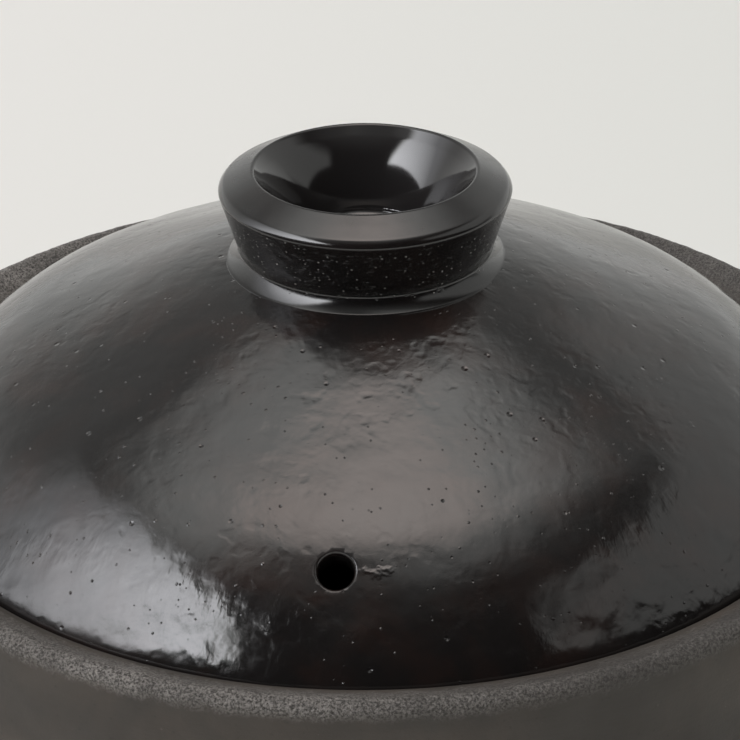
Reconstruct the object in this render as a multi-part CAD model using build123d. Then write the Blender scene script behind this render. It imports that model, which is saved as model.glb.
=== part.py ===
from build123d import *
import math
import os

# A rice donabe: a thick clay pot with two ears, an inner lid, and a domed outer lid with a
# bowl-shaped knob. Lengths are in millimetres and angles in degrees.
# The pot stands on z = 0 with its axis on z. The ears are on +X and -X, the steam hole to -Y.

# Pot: foot, wall and floor
foot_radius = 64.0
foot_height = 4.0
foot_step = 2.0
foot_land_width = 14.0
foot_recess_depth = 2.5
floor_radius = 56.0
floor_thickness = 13.0
wall_thickness = 11.0
belly_bulge = 1.2
pot_height = 120.9

# Pot: collar round the outer lid, and the ledges under both lids
rim_round = 2.5
collar_width = 8.9
collar_slope_angle = 27.5
collar_depth = 4.85
pocket_radius = 86.5
pocket_depth = 8.7
throat_radius = 79.0
throat_lip = 8.0
shoulder_height = 23.0

# Ears on the pot's sides
ear_projection = 14.0
ear_root = 5.5
ear_width = 66.0
ear_thickness = 15.0
ear_edge_round = 6.0
ear_drop = 20.0
ear_droop_angle = 8.0
luting_gap = 0.2

# Outer lid
lid_radius = 100.2
lid_side_clearance = 0.7
lid_edge_round = 3.15
lid_seat_width = 6.0
lid_thickness = 7.0
skirt_width = 15.7
skirt_angle = 51.0
dome_angle = 21.1
shoulder_radius = 48.0

# Steam hole in the outer lid
steam_hole_diameter = 6.9
steam_hole_inset = 14.6
steam_hole_azimuth = -94.0

# Knob of the outer lid
knob_foot_radius = 28.1
knob_neck_radius = 26.4
knob_fillet_height = 2.0
knob_neck_height = 12.8
knob_rim_radius = 30.5
knob_bevel_height = 1.7
knob_bevel_width = 0.3
knob_land_width = 7.0
knob_land_rise = 2.6
knob_bowl_depth = 16.0

# Inner lid
inner_lid_side_clearance = 0.7
inner_lid_rim_thickness = 6.0
inner_lid_edge_round = 2.5
inner_lid_crown = 6.0
inner_lid_hollow = 4.5
inner_lid_seat_width = 9.0
inner_hole_diameter = 9.0
inner_hole_radius = 48.0
inner_hole_count = 2

# Knob of the inner lid
button_foot_radius = 13.0
button_neck_radius = 10.0
button_radius = 15.0
button_neck_height = 8.0
button_rim_height = 4.0
button_crown = 3.0

# How far a cutting shape runs past the faces that it cuts
cut_overrun = 2.0

# Places worked out from the sizes above
collar_foot_radius = lid_radius + lid_side_clearance
crest_radius = collar_foot_radius + collar_width
rim_outer_radius = crest_radius + rim_round
belly_radius = rim_outer_radius + belly_bulge
cavity_radius = belly_radius - wall_thickness
collar_foot_level = pot_height - rim_round - collar_width * math.tan(math.radians(collar_slope_angle))
collar_foot_level += rim_round / math.cos(math.radians(collar_slope_angle))
outer_ledge_level = collar_foot_level - collar_depth
inner_ledge_level = outer_ledge_level - pocket_depth
throat_level = inner_ledge_level - throat_lip
belly_level = throat_level - shoulder_height
inner_lid_radius = pocket_radius - inner_lid_side_clearance
inner_lid_top = inner_ledge_level + inner_lid_rim_thickness + inner_lid_crown
steam_hole_radius = lid_radius - steam_hole_inset

up = (0, 1)
down = (0, -1)
outward = (1, 0)


def turned(outline):
    """The solid made by turning a closed half-section (radius, height) about the pot's axis."""
    return revolve(Plane.XZ * make_face(outline), axis=Axis.Z)


def facing(angle):
    """The unit normal, as (radius, height), of a lid surface that falls outward at an angle."""
    return math.sin(math.radians(angle)), math.cos(math.radians(angle))


def outer_wall(grown=0):
    """The pot's outer wall from foot to rim, or the same wall grown outward by a gap."""
    foot_top = (foot_radius + foot_step + grown, foot_height)
    belly = (belly_radius + grown, belly_level)
    rim_side = (rim_outer_radius + grown, pot_height - rim_round)
    bowl = TangentArc(belly, foot_top, tangent=down)
    shoulder = TangentArc(belly, rim_side, tangent=up)
    return foot_top, rim_side, [bowl, shoulder]


def pot_body():
    """The pot: foot ring, round bowl, two lid ledges and the sloping collar, turned in one piece."""
    foot_top, rim_side, wall = outer_wall()
    recess_radius = foot_radius - foot_land_width
    foot = Polyline(
        (0, foot_recess_depth),
        (recess_radius, foot_recess_depth),
        (recess_radius, 0),
        (foot_radius, 0),
        (foot_radius, foot_height),
        foot_top,
    )
    slope_out, slope_up = facing(collar_slope_angle)
    slope_top = (crest_radius - rim_round * slope_out, pot_height - rim_round + rim_round * slope_up)
    rim = TangentArc(rim_side, slope_top, tangent=up)
    mouth = Polyline(
        slope_top,
        (collar_foot_radius, collar_foot_level),
        (collar_foot_radius, outer_ledge_level),
        (pocket_radius, outer_ledge_level),
        (pocket_radius, inner_ledge_level),
        (throat_radius, inner_ledge_level),
        (throat_radius, throat_level),
    )
    belly = (cavity_radius, belly_level)
    floor_edge = (floor_radius, floor_thickness)
    upper_cavity = TangentArc(belly, (throat_radius, throat_level), tangent=up)
    lower_cavity = TangentArc(belly, floor_edge, tangent=down)
    floor = Polyline(floor_edge, (0, floor_thickness), (0, foot_recess_depth))
    return turned([foot, *wall, rim, mouth, upper_cavity, lower_cavity, floor])


def ear(side):
    """One clay lug, rounded all over and drooping a little, with its root cut to the pot's wall."""
    reach = ear_projection + ear_root
    lug = extrude(Ellipse(reach, ear_width / 2), amount=ear_thickness / 2, both=True)
    by_height = lug.faces().sort_by(Axis.Z)
    lug = fillet(by_height[0].edges() + by_height[-1].edges(), ear_edge_round)
    centre = Pos(side * (belly_radius - ear_root), 0, pot_height - ear_drop)
    foot_top, rim_side, wall = outer_wall(luting_gap)
    lid_of_wall = Polyline(rim_side, (0, rim_side[1]), (0, foot_top[1]), foot_top)
    return centre * Rot(0, side * ear_droop_angle, 0) * lug - turned([*wall, lid_of_wall])


def lid_edge_centre():
    """The centre of the round on the outer lid's edge, which stands on the outer ledge."""
    return lid_radius - lid_edge_round, outer_ledge_level + lid_edge_round


def shoulder_corner(depth=0):
    """Where the dome's slope and the skirt's slope would meet, at a depth below the surface."""
    edge_radius, edge_level = lid_edge_centre()
    skirt_out, skirt_up = facing(skirt_angle)
    dome_out, dome_up = facing(dome_angle)
    radius = edge_radius + lid_edge_round * skirt_out - skirt_width
    level = edge_level + lid_edge_round * skirt_up + skirt_width * skirt_out / skirt_up
    spread = 1 + skirt_out * dome_out + skirt_up * dome_up
    return radius - depth * (skirt_out + dome_out) / spread, level - depth * (skirt_up + dome_up) / spread


def shoulder_arc(depth=0):
    """The round between dome and skirt, with its ends, at a depth below the surface."""
    corner_radius, corner_level = shoulder_corner(depth)
    run = (shoulder_radius - depth) * math.tan(math.radians(skirt_angle - dome_angle) / 2)
    skirt_out, skirt_up = facing(skirt_angle)
    dome_out, dome_up = facing(dome_angle)
    start = (corner_radius - run * dome_up, corner_level + run * dome_out)
    end = (corner_radius + run * skirt_up, corner_level - run * skirt_out)
    return start, end, TangentArc(start, end, tangent=(dome_up, -dome_out))


def dome_level(radius, depth=0):
    """The height of the dome's straight slope at a radius, at a depth below the surface."""
    corner_radius, corner_level = shoulder_corner(depth)
    return corner_level + (corner_radius - radius) * math.tan(math.radians(dome_angle))


def steam_hole():
    """A round pin along the lid's normal, where the steam hole is punched through the shoulder."""
    start = shoulder_arc()[0]
    dome_out, dome_up = facing(dome_angle)
    centre_radius = start[0] - shoulder_radius * dome_out
    centre_level = start[1] - shoulder_radius * dome_up
    lean = math.degrees(math.asin((steam_hole_radius - centre_radius) / shoulder_radius))
    out, rise = facing(lean)
    middle_radius = steam_hole_radius - out * lid_thickness / 2
    middle_level = centre_level + (shoulder_radius - lid_thickness / 2) * rise
    pin = Cylinder(steam_hole_diameter / 2, lid_thickness + 2 * cut_overrun)
    return Rot(0, 0, steam_hole_azimuth) * Pos(middle_radius, 0, middle_level) * Rot(0, lean, 0) * pin


def outer_lid():
    """The domed outer lid: flat knob seat, cone, rounded shoulder, steep skirt and rounded edge."""
    edge_radius, edge_level = lid_edge_centre()
    skirt_out, skirt_up = facing(skirt_angle)
    skirt_foot = (edge_radius + lid_edge_round * skirt_out, edge_level + lid_edge_round * skirt_up)
    seat_level = dome_level(knob_foot_radius)
    ceiling_level = dome_level(knob_foot_radius, lid_thickness)
    start, end, shoulder = shoulder_arc()
    inner_start, inner_end, inner_shoulder = shoulder_arc(lid_thickness)
    top = Polyline((0, seat_level), (knob_foot_radius, seat_level), start)
    skirt = Line(end, skirt_foot)
    side = (lid_radius, edge_level)
    seat_edge = (edge_radius, outer_ledge_level)
    edge = [TangentArc(skirt_foot, side, tangent=(skirt_up, -skirt_out)),
            TangentArc(side, seat_edge, tangent=down)]
    seat_radius = edge_radius - lid_seat_width
    corner_radius, corner_level = shoulder_corner(lid_thickness)
    wall_level = corner_level - (seat_radius - corner_radius) * skirt_out / skirt_up
    seat = Polyline(seat_edge, (seat_radius, outer_ledge_level), (seat_radius, wall_level), inner_end)
    ceiling = Polyline(inner_start, (knob_foot_radius, ceiling_level), (0, ceiling_level), (0, seat_level))
    return turned([top, shoulder, skirt, *edge, seat, inner_shoulder, ceiling]) - steam_hole()


def outer_lid_knob():
    """The knob: a flared ring with a bevel, a sloping land and a bowl-shaped hollow."""
    foot_level = dome_level(knob_foot_radius)
    neck_level = foot_level + knob_fillet_height
    bevel_level = neck_level + knob_neck_height
    arris_level = bevel_level + knob_bevel_height
    arris_radius = knob_rim_radius - knob_bevel_width
    crest = (arris_radius - knob_land_width, arris_level + knob_land_rise)
    neck = (knob_neck_radius, neck_level)
    flare = (knob_rim_radius - knob_neck_radius, knob_neck_height)
    fillet_arc = TangentArc(neck, (knob_foot_radius, foot_level), tangent=(-flare[0], -flare[1]))
    side = Polyline(neck, (knob_rim_radius, bevel_level), (arris_radius, arris_level), crest)
    bowl_floor = (0, crest[1] - knob_bowl_depth)
    bowl = TangentArc(bowl_floor, crest, tangent=outward)
    base = Polyline(bowl_floor, (0, foot_level), (knob_foot_radius, foot_level))
    return turned([fillet_arc, side, bowl, base])


def inner_lid():
    """The inner lid: a crowned disc with a flat seat ring, a flat for its knob, and steam holes."""
    shoulder_level = inner_ledge_level + inner_lid_rim_thickness
    side_radius = inner_lid_radius - inner_lid_edge_round
    hollow_radius = inner_lid_radius - inner_lid_seat_width
    crown = TangentArc((button_foot_radius, inner_lid_top), (side_radius, shoulder_level), tangent=outward)
    edge = TangentArc((inner_lid_radius, shoulder_level - inner_lid_edge_round),
                      (side_radius, shoulder_level), tangent=up)
    rim = Polyline((inner_lid_radius, shoulder_level - inner_lid_edge_round),
                   (inner_lid_radius, inner_ledge_level), (hollow_radius, inner_ledge_level))
    hollow_top = (0, inner_ledge_level + inner_lid_hollow)
    hollow = TangentArc(hollow_top, (hollow_radius, inner_ledge_level), tangent=outward)
    middle = Polyline(hollow_top, (0, inner_lid_top), (button_foot_radius, inner_lid_top))
    lid = turned([crown, edge, rim, hollow, middle])
    height = inner_lid_rim_thickness + inner_lid_crown + 2 * cut_overrun
    pin = Cylinder(inner_hole_diameter / 2, height)
    for hole in PolarLocations(inner_hole_radius, inner_hole_count):
        lid -= Pos(0, 0, inner_ledge_level + height / 2 - cut_overrun) * hole * pin
    return lid


def inner_lid_knob():
    """The button on the inner lid: a waisted stem under a crowned top."""
    waist_level = inner_lid_top + button_neck_height / 2
    rim_level = inner_lid_top + button_neck_height
    shoulder_level = rim_level + button_rim_height
    foot = (button_foot_radius, inner_lid_top)
    rim = (button_radius, rim_level)
    stem = ThreePointArc(foot, (button_neck_radius, waist_level), rim)
    side = Line(rim, (button_radius, shoulder_level))
    top = (0, shoulder_level + button_crown)
    crown = TangentArc(top, (button_radius, shoulder_level), tangent=outward)
    middle = Polyline(top, (0, inner_lid_top), foot)
    return turned([stem, side, crown, middle])


def main():
    """Build each piece and write it as one STEP file, named after its node."""
    pieces = {
        "pot_body": pot_body(),
        "ear_right": ear(1),
        "ear_left": ear(-1),
        "outer_lid": outer_lid(),
        "outer_lid_knob": outer_lid_knob(),
        "inner_lid": inner_lid(),
        "inner_lid_knob": inner_lid_knob(),
    }
    os.makedirs("parts", exist_ok=True)
    for name, piece in pieces.items():
        export_step(piece, f"parts/{name}.step")
        print(name, "volume", round(piece.volume), "mm3")


main()
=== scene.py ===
"""A black-glazed clay rice pot with an inner lid, dressed around its packed construction.

Lengths are in metres, in the frame of the construction: the pot stands on z = 0 with its axis on z,
its ears are on +X and -X, and the steam hole of the outer lid looks to -Y, where the camera is.
"""

from __future__ import annotations

import logging
import math
from dataclasses import dataclass, field
from enum import Enum
from typing import Callable, Union

import bpy
from mathutils import Matrix, Vector


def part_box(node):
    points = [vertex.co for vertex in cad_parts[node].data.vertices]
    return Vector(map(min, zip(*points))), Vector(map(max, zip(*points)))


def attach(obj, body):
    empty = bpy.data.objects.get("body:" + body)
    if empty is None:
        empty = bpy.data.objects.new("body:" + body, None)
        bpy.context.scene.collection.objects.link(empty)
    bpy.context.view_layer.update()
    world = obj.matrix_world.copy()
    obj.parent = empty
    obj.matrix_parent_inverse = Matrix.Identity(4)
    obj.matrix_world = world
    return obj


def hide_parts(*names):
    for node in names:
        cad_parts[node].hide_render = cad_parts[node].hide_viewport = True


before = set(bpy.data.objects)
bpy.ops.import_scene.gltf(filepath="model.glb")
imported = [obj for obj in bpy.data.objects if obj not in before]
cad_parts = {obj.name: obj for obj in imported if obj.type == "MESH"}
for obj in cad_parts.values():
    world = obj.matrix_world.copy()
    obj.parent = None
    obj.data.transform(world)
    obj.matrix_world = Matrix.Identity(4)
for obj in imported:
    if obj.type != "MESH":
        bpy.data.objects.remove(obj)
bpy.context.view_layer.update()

log = logging.getLogger("rice_pot")

MM = 0.001
FULL_TURN = math.tau
WEDGES = 16
WELD = 0.002 * MM
MASK_LEVELS = 20
NEVER_ZERO = 1e-8
HAIR = 1e-9
Point = tuple[float, float]
Bend = tuple[float, float, float]
Colour = tuple[float, float, float]


class Slot(Enum):
    """The finishes that the record names."""

    CLAY = "clay"
    BLACK_GLAZE = "black_glaze"
    INNER_GLAZE = "inner_glaze"


class Body(Enum):
    """The bodies that move on their own."""

    POT = "pot"
    INNER_LID = "inner_lid"
    OUTER_LID = "outer_lid"


class Wire:
    """A node's output whose arithmetic adds Math nodes to the same tree."""

    def __init__(self, paint: "Paint", socket: bpy.types.NodeSocket) -> None:
        """Keep the tree and the output."""
        self.paint = paint
        self.socket = socket

    def _math(self, operation: str, *others: "Value") -> "Wire":
        """Add one Math node on this value and the others, and give its result."""
        inputs = dict(enumerate((self, *others)))
        return self.paint.node("ShaderNodeMath", {"operation": operation}, inputs)

    def __add__(self, other: "Value") -> "Wire":
        """The sum."""
        return self._math("ADD", other)

    __radd__ = __add__

    def __mul__(self, other: "Value") -> "Wire":
        """The product."""
        return self._math("MULTIPLY", other)

    __rmul__ = __mul__

    def __sub__(self, other: "Value") -> "Wire":
        """The difference."""
        return self._math("SUBTRACT", other)

    def __rsub__(self, other: float) -> "Wire":
        """A number less this value."""
        return self * -1.0 + other

    def __truediv__(self, other: "Value") -> "Wire":
        """The quotient."""
        return self._math("DIVIDE", other)

    def __pow__(self, power: "Value") -> "Wire":
        """This value raised to a power."""
        return self._math("POWER", power)

    def least(self, other: "Value") -> "Wire":
        """The lesser of two values."""
        return self._math("MINIMUM", other)

    def most(self, other: "Value") -> "Wire":
        """The greater of two values."""
        return self._math("MAXIMUM", other)

    def size(self) -> "Wire":
        """The value without its sign."""
        return self._math("ABSOLUTE")

    def eased(self, low: float, high: float, at_low: float = 0.0, at_high: float = 1.0) -> "Wire":
        """Carry a range of this value smoothly to another range, and hold it outside.

        Args:
            low: where the change starts.
            high: where the change ends.
            at_low: the result at and below low.
            at_high: the result at and above high.

        Returns:
            The eased value.
        """
        names = ("Value", "From Min", "From Max", "To Min", "To Max")
        inputs = dict(zip(names, (self, low, high, at_low, at_high)))
        settings = {"interpolation_type": "SMOOTHSTEP"}
        return self.paint.node("ShaderNodeMapRange", settings, inputs, "Result")

    def within(self, low: float, high: float, soft: float) -> "Wire":
        """A mask that is 1 between low and high, with a fade as wide as soft at each."""
        rising = self.eased(low - soft / 2, low + soft / 2)
        return rising * self.eased(high - soft / 2, high + soft / 2, 1.0, 0.0)


Value = Union[Wire, float, int, tuple]


class Paint:
    """A node tree under construction."""

    def __init__(self, tree: bpy.types.NodeTree) -> None:
        """Start on an emptied tree."""
        self.tree = tree
        tree.nodes.clear()

    def node(self, kind: str, settings: dict, inputs: dict, output: Union[str, int] = 0) -> Wire:
        """Add a node of any kind.

        Args:
            kind: the node's type.
            settings: its properties, which are set first.
            inputs: values or wires for its sockets, by name or number.
            output: the output that is wanted.

        Returns:
            That output.
        """
        made = self.tree.nodes.new(kind)
        for name, value in settings.items():
            setattr(made, name, value)
        for name, value in inputs.items():
            if isinstance(value, Wire):
                self.tree.links.new(value.socket, made.inputs[name])
            else:
                made.inputs[name].default_value = value
        if not len(made.outputs):
            return Wire(self, None)
        return Wire(self, made.outputs[output])

    def place(self) -> Wire:
        """The point's own place on the object, in metres."""
        return self.node("ShaderNodeTexCoord", {}, {}, "Object")

    def parts(self, vector: Wire) -> tuple[Wire, Wire, Wire]:
        """Split a vector.

        Args:
            vector: the vector.

        Returns:
            Its three numbers.
        """
        first = self.node("ShaderNodeSeparateXYZ", {}, {0: vector}, 0)
        split = first.socket.node
        return first, Wire(self, split.outputs[1]), Wire(self, split.outputs[2])

    def from_axis(self, x: Wire, y: Wire) -> Wire:
        """The distance from the pot's axis."""
        return (x * x + y * y) ** 0.5

    def wrapped(self, x: Wire, y: Wire, z: Wire, girth: float, fall: float) -> Wire:
        """A place carried straight out onto a cylinder, so that marks on it run down the wall.

        Args:
            x: the place's x.
            y: the place's y.
            z: the place's height.
            girth: the cylinder's radius.
            fall: how much of the height counts, less than 1 to draw marks out.

        Returns:
            The carried place.
        """
        out = (x * x + y * y + NEVER_ZERO) ** 0.5
        carried = {0: x / out * girth, 1: y / out * girth, 2: z * fall}
        return self.node("ShaderNodeCombineXYZ", {}, carried)

    def stretched(self, vector: Wire, scale: tuple[float, float, float]) -> Wire:
        """A vector with each axis scaled."""
        inputs = {"Vector": vector, "Scale": scale}
        return self.node("ShaderNodeMapping", {"vector_type": "POINT"}, inputs)

    def noise(self, vector: Wire, grain: float, detail: float = 2.0, rough: float = 0.5,
              twist: float = 0.0) -> Wire:
        """Soft noise about 0.5.

        Args:
            vector: the place that it reads.
            grain: the size of its largest features, in metres.
            detail: how many finer layers it has.
            rough: how strong the finer layers are.
            twist: how far it is distorted.

        Returns:
            The noise.
        """
        inputs = {"Vector": vector, "Scale": 1 / grain, "Detail": detail, "Roughness": rough,
                  "Distortion": twist}
        return self.node("ShaderNodeTexNoise", {"noise_dimensions": "3D"}, inputs, 0)

    def spots(self, vector: Wire, apart: float, radius: float, share: float) -> Wire:
        """Round spots scattered over the surface.

        Args:
            vector: the place that it reads.
            apart: the size of the cells that hold one spot each.
            radius: a spot's radius, in metres.
            share: the share of cells that have a spot.

        Returns:
            A mask that rises to 1 at the middle of each spot.
        """
        inputs = {"Vector": vector, "Scale": 1 / apart, "Randomness": 1.0}
        distance = self.node("ShaderNodeTexVoronoi", {"feature": "F1"}, inputs, "Distance")
        colour = Wire(self, distance.socket.node.outputs["Color"])
        red, green, _ = self.parts(colour)
        chosen = red.eased(share - 0.001, share + 0.001, 1.0, 0.0)
        reach = (green * 0.7 + 0.5) * (radius / apart)
        return (1.0 - distance / reach).most(0.0).least(1.0) * chosen

    def blend(self, share: Value, first: Value, second: Value) -> Wire:
        """Two colours mixed.

        Args:
            share: how much of the second colour shows.
            first: the colour at 0.
            second: the colour at 1.

        Returns:
            The mixed colour.
        """
        inputs = {0: share}
        for socket, value in ((6, first), (7, second)):
            inputs[socket] = value if isinstance(value, Wire) else (*value, 1.0)
        return self.node("ShaderNodeMix", {"data_type": "RGBA"}, inputs, 2)

    def bump(self, height_mm: Wire) -> Wire:
        """A normal from a height in millimetres."""
        inputs = {"Strength": 1.0, "Distance": MM, "Height": height_mm}
        return self.node("ShaderNodeBump", {}, inputs, "Normal")


@dataclass(frozen=True)
class Finish:
    """What every finish of the pot has in common: one shader with patterned colour, sheen and relief."""

    name: str
    colour: Colour
    tint: Colour
    index: float
    roughness: float

    def relief(self, paint: Paint, place: Wire) -> Wire:
        """The height of the surface in millimetres."""
        raise NotImplementedError

    def shade(self, paint: Paint, place: Wire) -> Wire:
        """The colour at a place."""
        patches = paint.noise(place, 22 * MM, 4.0, 0.6, 0.4)
        return paint.blend(patches.eased(0.42, 0.72), self.colour, self.tint)

    def sheen(self, paint: Paint, place: Wire) -> Wire:
        """The roughness at a place."""
        cloudy = paint.noise(place, 14 * MM, 3.0)
        return cloudy.eased(0.3, 0.7, self.roughness * 0.85, self.roughness * 1.2)

    def material(self) -> bpy.types.Material:
        """Build the material.

        Returns:
            The finished material.
        """
        made = bpy.data.materials.new(self.name)
        made.use_nodes = True
        paint = Paint(made.node_tree)
        place = paint.place()
        inputs = {
            "Base Color": self.shade(paint, place),
            "Roughness": self.sheen(paint, place),
            "IOR": self.index,
            "Normal": paint.bump(self.relief(paint, place)),
        }
        shader = paint.node("ShaderNodeBsdfPrincipled", {}, inputs, "BSDF")
        paint.node("ShaderNodeOutputMaterial", {}, {"Surface": shader})
        made.diffuse_color = (*self.colour, 1.0)
        return made


@dataclass(frozen=True)
class BlackGlaze(Finish):
    """Thick glossy black glaze with soft dents, wrinkles on the skirt, pinholes and small bubbles.

    Heights and depths, from dent to bubble, are in millimetres.
    """

    dent: float = 0.115
    hammering: float = 0.034
    crawl: float = 0.024
    fold: float = 0.085
    gather: float = 0.16
    run_height: float = 0.125
    pinhole: float = 0.17
    swarm: float = 0.12
    bubble: float = 0.11
    skirt_radius: float = 1.0
    skirt_girth: float = 90.0 * MM
    foot_radius: float = 29.2 * MM
    run_place: Point = (1.6 * MM, -85.6 * MM)
    run_size: Point = (4.3 * MM, 1.0 * MM)

    def relief(self, paint: Paint, place: Wire) -> Wire:
        """Raise dents, crawling, wrinkles, a run beside the steam hole, pinholes and bubbles.

        Args:
            paint: the tree.
            place: the point on the piece.

        Returns:
            The height in millimetres.
        """
        x, y, _ = paint.parts(place)
        radius = paint.from_axis(x, y)
        thick = paint.noise(place, 30 * MM, 2.0).eased(0.38, 0.62, 0.35, 1.3)
        dents = paint.noise(place, 6.5 * MM, 2.0, 0.45, 0.4) * self.dent
        hammered = paint.noise(place, 3.4 * MM, 1.0).eased(0.52, 0.78) * thick * self.hammering
        crawling = paint.noise(place, 2.0 * MM, 2.0, 0.5, 0.6) * self.crawl
        folds = self.wrinkles(paint, place, radius) + self.run(paint, place)
        return dents - hammered + crawling * thick + folds - self.pits(paint, place)

    def wrinkles(self, paint: Paint, place: Wire, radius: Wire) -> Wire:
        """Folds that run down the skirt, and short ones round the knob's foot.

        Args:
            paint: the tree.
            place: the point on the lid.
            radius: its distance from the axis.

        Returns:
            Their height in millimetres.
        """
        x, y, z = paint.parts(place)
        steep = radius.eased(self.skirt_radius - 5 * MM, self.skirt_radius + 3 * MM)
        patch = paint.noise(place, 13 * MM, 2.0).eased(0.50, 0.64, 0.05, 1.0)
        down_skirt = paint.wrapped(x, y, z, self.skirt_girth, 0.5)
        folds = paint.noise(down_skirt, 2.0 * MM, 3.0, 0.55, 0.4) * steep * patch
        round_foot = paint.wrapped(x, y, z, self.foot_radius, 0.1)
        gathered = paint.noise(round_foot, 1.5 * MM, 2.0, 0.5, 0.3)
        near = radius.eased(self.foot_radius, self.foot_radius + 6 * MM, 1.0, 0.0)
        return folds * self.fold + gathered * near * patch * self.gather

    def run(self, paint: Paint, place: Wire) -> Wire:
        """The low, uneven run of glaze beside the steam hole.

        Args:
            paint: the tree.
            place: the point on the lid.

        Returns:
            Its height in millimetres.
        """
        x, y, _ = paint.parts(place)
        waver = paint.noise(place, 2.6 * MM, 2.0).eased(0.3, 0.7, -0.5 * MM, 0.5 * MM)
        uneven = paint.noise(place, 1.5 * MM, 1.0).eased(0.36, 0.60, 0.25, 1.0)
        along = (x - self.run_place[0]).size().eased(self.run_size[0] * 0.35, self.run_size[0], 1.0, 0.0)
        across = (y + waver - self.run_place[1]).size().eased(0.0, self.run_size[1], 1.0, 0.0)
        return along * across * uneven * self.run_height

    def pits(self, paint: Paint, place: Wire) -> Wire:
        """Pinholes, some of them in swarms, less the small bubbles that stand up.

        Args:
            paint: the tree.
            place: the point on the piece.

        Returns:
            Their depth in millimetres.
        """
        swarm = paint.noise(place, 16 * MM, 1.0).eased(0.50, 0.62, 0.12, 1.0)
        single = paint.spots(place, 4.6 * MM, 0.60 * MM, 0.45) * self.pinhole
        crowd = paint.spots(paint.stretched(place, (1.0, 1.03, 1.0)), 1.7 * MM, 0.26 * MM, 0.5)
        bubbles = paint.spots(paint.stretched(place, (1.0, 1.0, 0.97)), 2.3 * MM, 0.32 * MM, 0.5)
        return single + crowd * swarm * self.swarm - bubbles * self.bubble

    def sheen(self, paint: Paint, place: Wire) -> Wire:
        """Make it glossy, with a little haze in patches.

        Args:
            paint: the tree.
            place: the point on the piece.

        Returns:
            The roughness.
        """
        cloudy = paint.noise(place, 16 * MM, 3.0).eased(0.35, 0.7)
        haze = paint.noise(place, 0.8 * MM, 1.0).eased(0.45, 0.75)
        return self.roughness + cloudy * 0.04 + haze * 0.03


@dataclass(frozen=True)
class KnobGlaze(BlackGlaze):
    """The same glaze on the knob: satin on its land, sandy on its neck, and glossy in its bowl."""

    fillet_level: float = 0.0
    bevel_level: float = 0.0
    land_level: float = 0.0
    crest_radius: float = 0.0
    skin: float = 0.030
    streak: float = 0.07
    grain: float = 0.17
    nick: float = 0.07
    # painted light: the bowl's inside is coloured paler than the knob's black, standing in for light
    # inside the bowl
    bowl_painted_light_colour: Colour = (0.0190, 0.0175, 0.0175)
    # painted glints: the pale colour laid on the tops of the neck's sand grains
    glint_colour: Colour = (0.430, 0.410, 0.390)
    bowl_sheen: float = 0.085

    def zones(self, paint: Paint, place: Wire) -> tuple[Wire, Wire, Wire]:
        """Masks of the sandy neck, of the land on top and of the bowl's inside.

        Args:
            paint: the tree.
            place: the point on the knob.

        Returns:
            The three masks.
        """
        x, y, z = paint.parts(place)
        radius = paint.from_axis(x, y)
        bowl = radius.eased(self.crest_radius - 0.5 * MM, self.crest_radius + 0.1 * MM, 1.0, 0.0)
        waver = paint.noise(place, 4 * MM, 2.0).eased(0.3, 0.7, -0.7 * MM, 0.7 * MM)
        sandy = (z + waver).within(self.fillet_level - 0.7 * MM, self.bevel_level - 0.5 * MM, 1.0 * MM)
        land = z.eased(self.land_level - 0.4 * MM, self.land_level + 0.3 * MM) * (1.0 - bowl)
        return sandy * (1.0 - bowl), land, bowl

    def sand(self, paint: Paint, place: Wire) -> Wire:
        """The grains that stand under the glaze of the neck."""
        return paint.spots(paint.stretched(place, (1.0, 1.0, 1.6)), 0.95 * MM, 0.30 * MM, 0.40)

    def relief(self, paint: Paint, place: Wire) -> Wire:
        """Scatter grains under the glaze of the neck, and leave a smooth skin elsewhere.

        Args:
            paint: the tree.
            place: the point on the piece.

        Returns:
            The height in millimetres.
        """
        sandy, _, bowl = self.zones(paint, place)
        drawn = paint.noise(paint.stretched(place, (1.0, 1.0, 2.6)), 2.2 * MM, 2.0, 0.6)
        streaks = drawn.eased(0.55, 0.80) * self.streak
        skin = paint.noise(place, 6.0 * MM, 2.0) * self.skin
        pinholes = paint.spots(place, 6.0 * MM, 0.30 * MM, 0.16) * self.nick
        grains = self.sand(paint, place) * self.grain
        return skin * (1.0 - bowl * 0.7) + (grains + streaks) * sandy - pinholes

    def shade(self, paint: Paint, place: Wire) -> Wire:
        """Colour it black, with painted glints that make the tops of the sand grains pale, and painted
        light that makes the bowl's inside paler.

        Args:
            paint: the tree.
            place: the point on the piece.

        Returns:
            The colour.
        """
        sandy, _, bowl = self.zones(paint, place)
        some = paint.noise(place, 1.6 * MM, 1.0).eased(0.42, 0.58)
        # painted glints: the tops of the sand grains are coloured pale
        bare = self.sand(paint, place).eased(0.30, 0.55) * some
        # painted light: the bowl's inside takes the paler colour
        body = paint.blend(bowl, super().shade(paint, place), self.bowl_painted_light_colour)
        return paint.blend(bare * sandy * 0.9, body, self.glint_colour)

    def sheen(self, paint: Paint, place: Wire) -> Wire:
        """Make the land satin, the neck a little rough and the bowl glossy.

        Args:
            paint: the tree.
            place: the point on the piece.

        Returns:
            The roughness.
        """
        sandy, land, bowl = self.zones(paint, place)
        cloudy = paint.noise(place, 9 * MM, 3.0).eased(0.3, 0.7)
        satin = (cloudy * 0.08 + 0.20) * land
        side = (1.0 - land) * (1.0 - bowl) * (self.roughness + sandy * 0.04)
        return satin + side + bowl * self.bowl_sheen


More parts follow.
